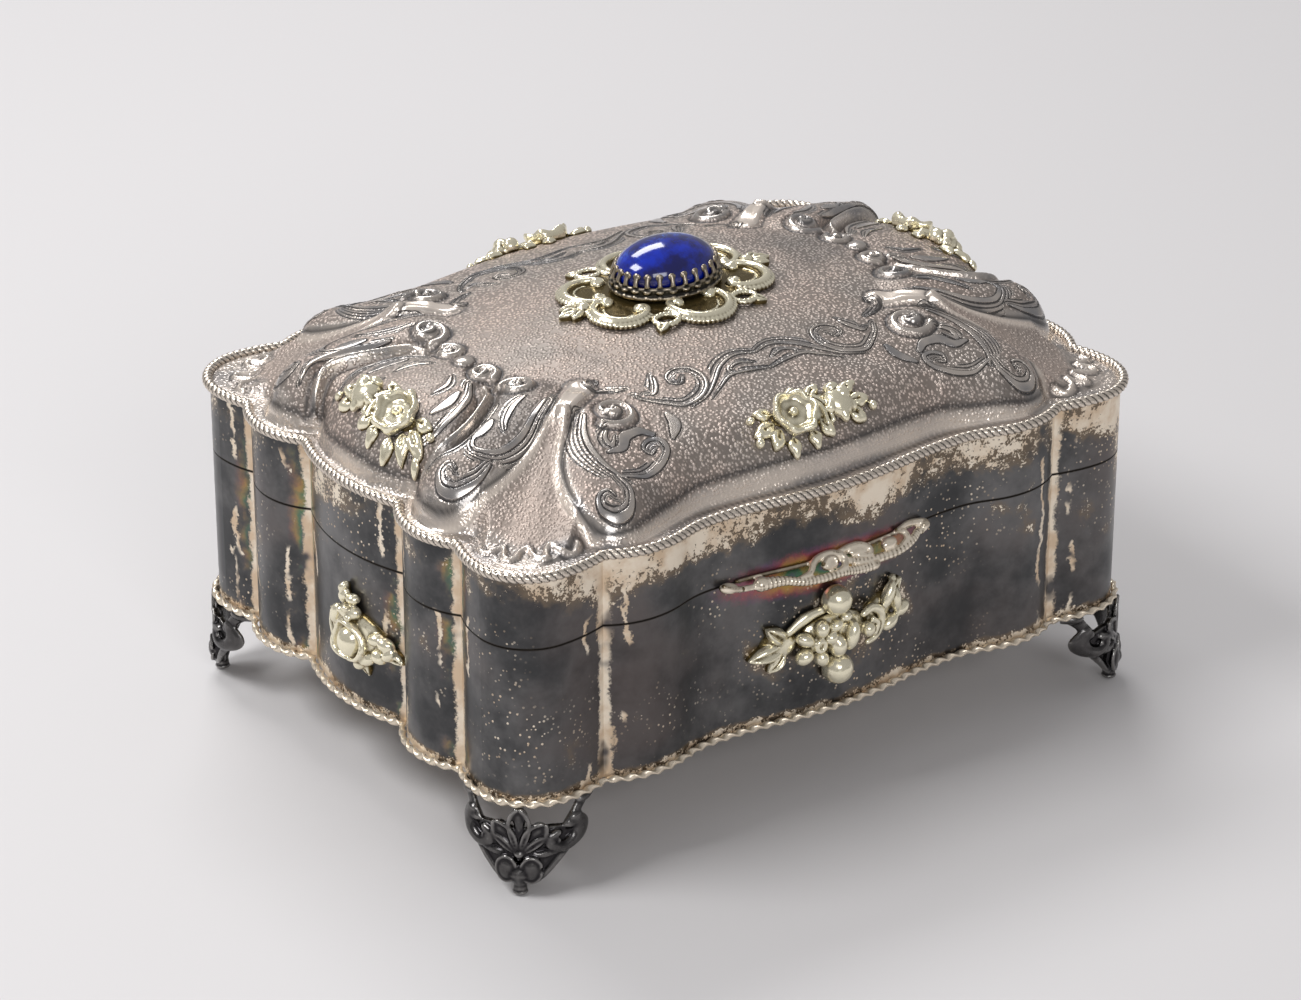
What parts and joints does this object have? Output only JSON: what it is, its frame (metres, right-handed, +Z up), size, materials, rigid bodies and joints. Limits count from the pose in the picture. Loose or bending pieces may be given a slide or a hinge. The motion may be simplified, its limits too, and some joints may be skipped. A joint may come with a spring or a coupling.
{
  "type": "silver casket",
  "caption": "Serpentine silver jewel casket on cast feet, with a hinged domed lid, rope-twist rim, flower sprays and a lapis cabochon finial.",
  "frame": {"origin": "on the floor under the feet, in the middle of the plan", "axes": "+X along the long side towards the right end seen from the front, +Z up, front and thumbpiece at -Y"},
  "size_m": [0.1498, 0.1168, 0.0893],
  "materials": {
    "tarnished_silver": "polished silver sheet under heavy grey-black tarnish with bare cream patches",
    "embossed_silver": "punched and chased silver, grey-pink, dark in the recesses",
    "bare_silver": "worn bright silver with light yellow tarnish",
    "pale_gilt": "cast silver with a pale yellow-green gilt wash",
    "oxidised_silver": "cast silver, dark grey oxide, bright on the high points",
    "lapis": "polished deep blue stone with faint lighter veins"
  },
  "bodies": {
    "box": {"body_wall": "tarnished_silver", "body_floor": "bare_silver", "body_bezel": "bare_silver", "base_wire": "bare_silver", "foot_front_left": "oxidised_silver", "foot_front_right": "oxidised_silver", "foot_rear_left": "oxidised_silver", "foot_rear_right": "oxidised_silver", "body_spray_front": "pale_gilt", "body_spray_rear": "pale_gilt", "body_spray_left": "pale_gilt", "body_spray_right": "pale_gilt", "hinge_box_leaf": "bare_silver", "hinge_pin": "bare_silver"},
    "lid": {"hinge_lid_leaf": "bare_silver", "lid_skirt": "tarnished_silver", "lid_dome": "embossed_silver", "rope_rim": "bare_silver", "thumbpiece": "bare_silver", "lid_spray_front": "pale_gilt", "lid_spray_rear": "pale_gilt", "lid_spray_left": "pale_gilt", "lid_spray_right": "pale_gilt", "scroll_frame": "pale_gilt", "stone_collet": "oxidised_silver", "lapis_stone": "lapis"}
  },
  "joints": [
    {"name": "lid_hinge", "type": "hinge", "parent": "box", "child": "lid", "pos_m": [0, 0.0556, 0.0478], "axis": [-1, 0, 0], "range_deg": [0, 100]}
  ]
}
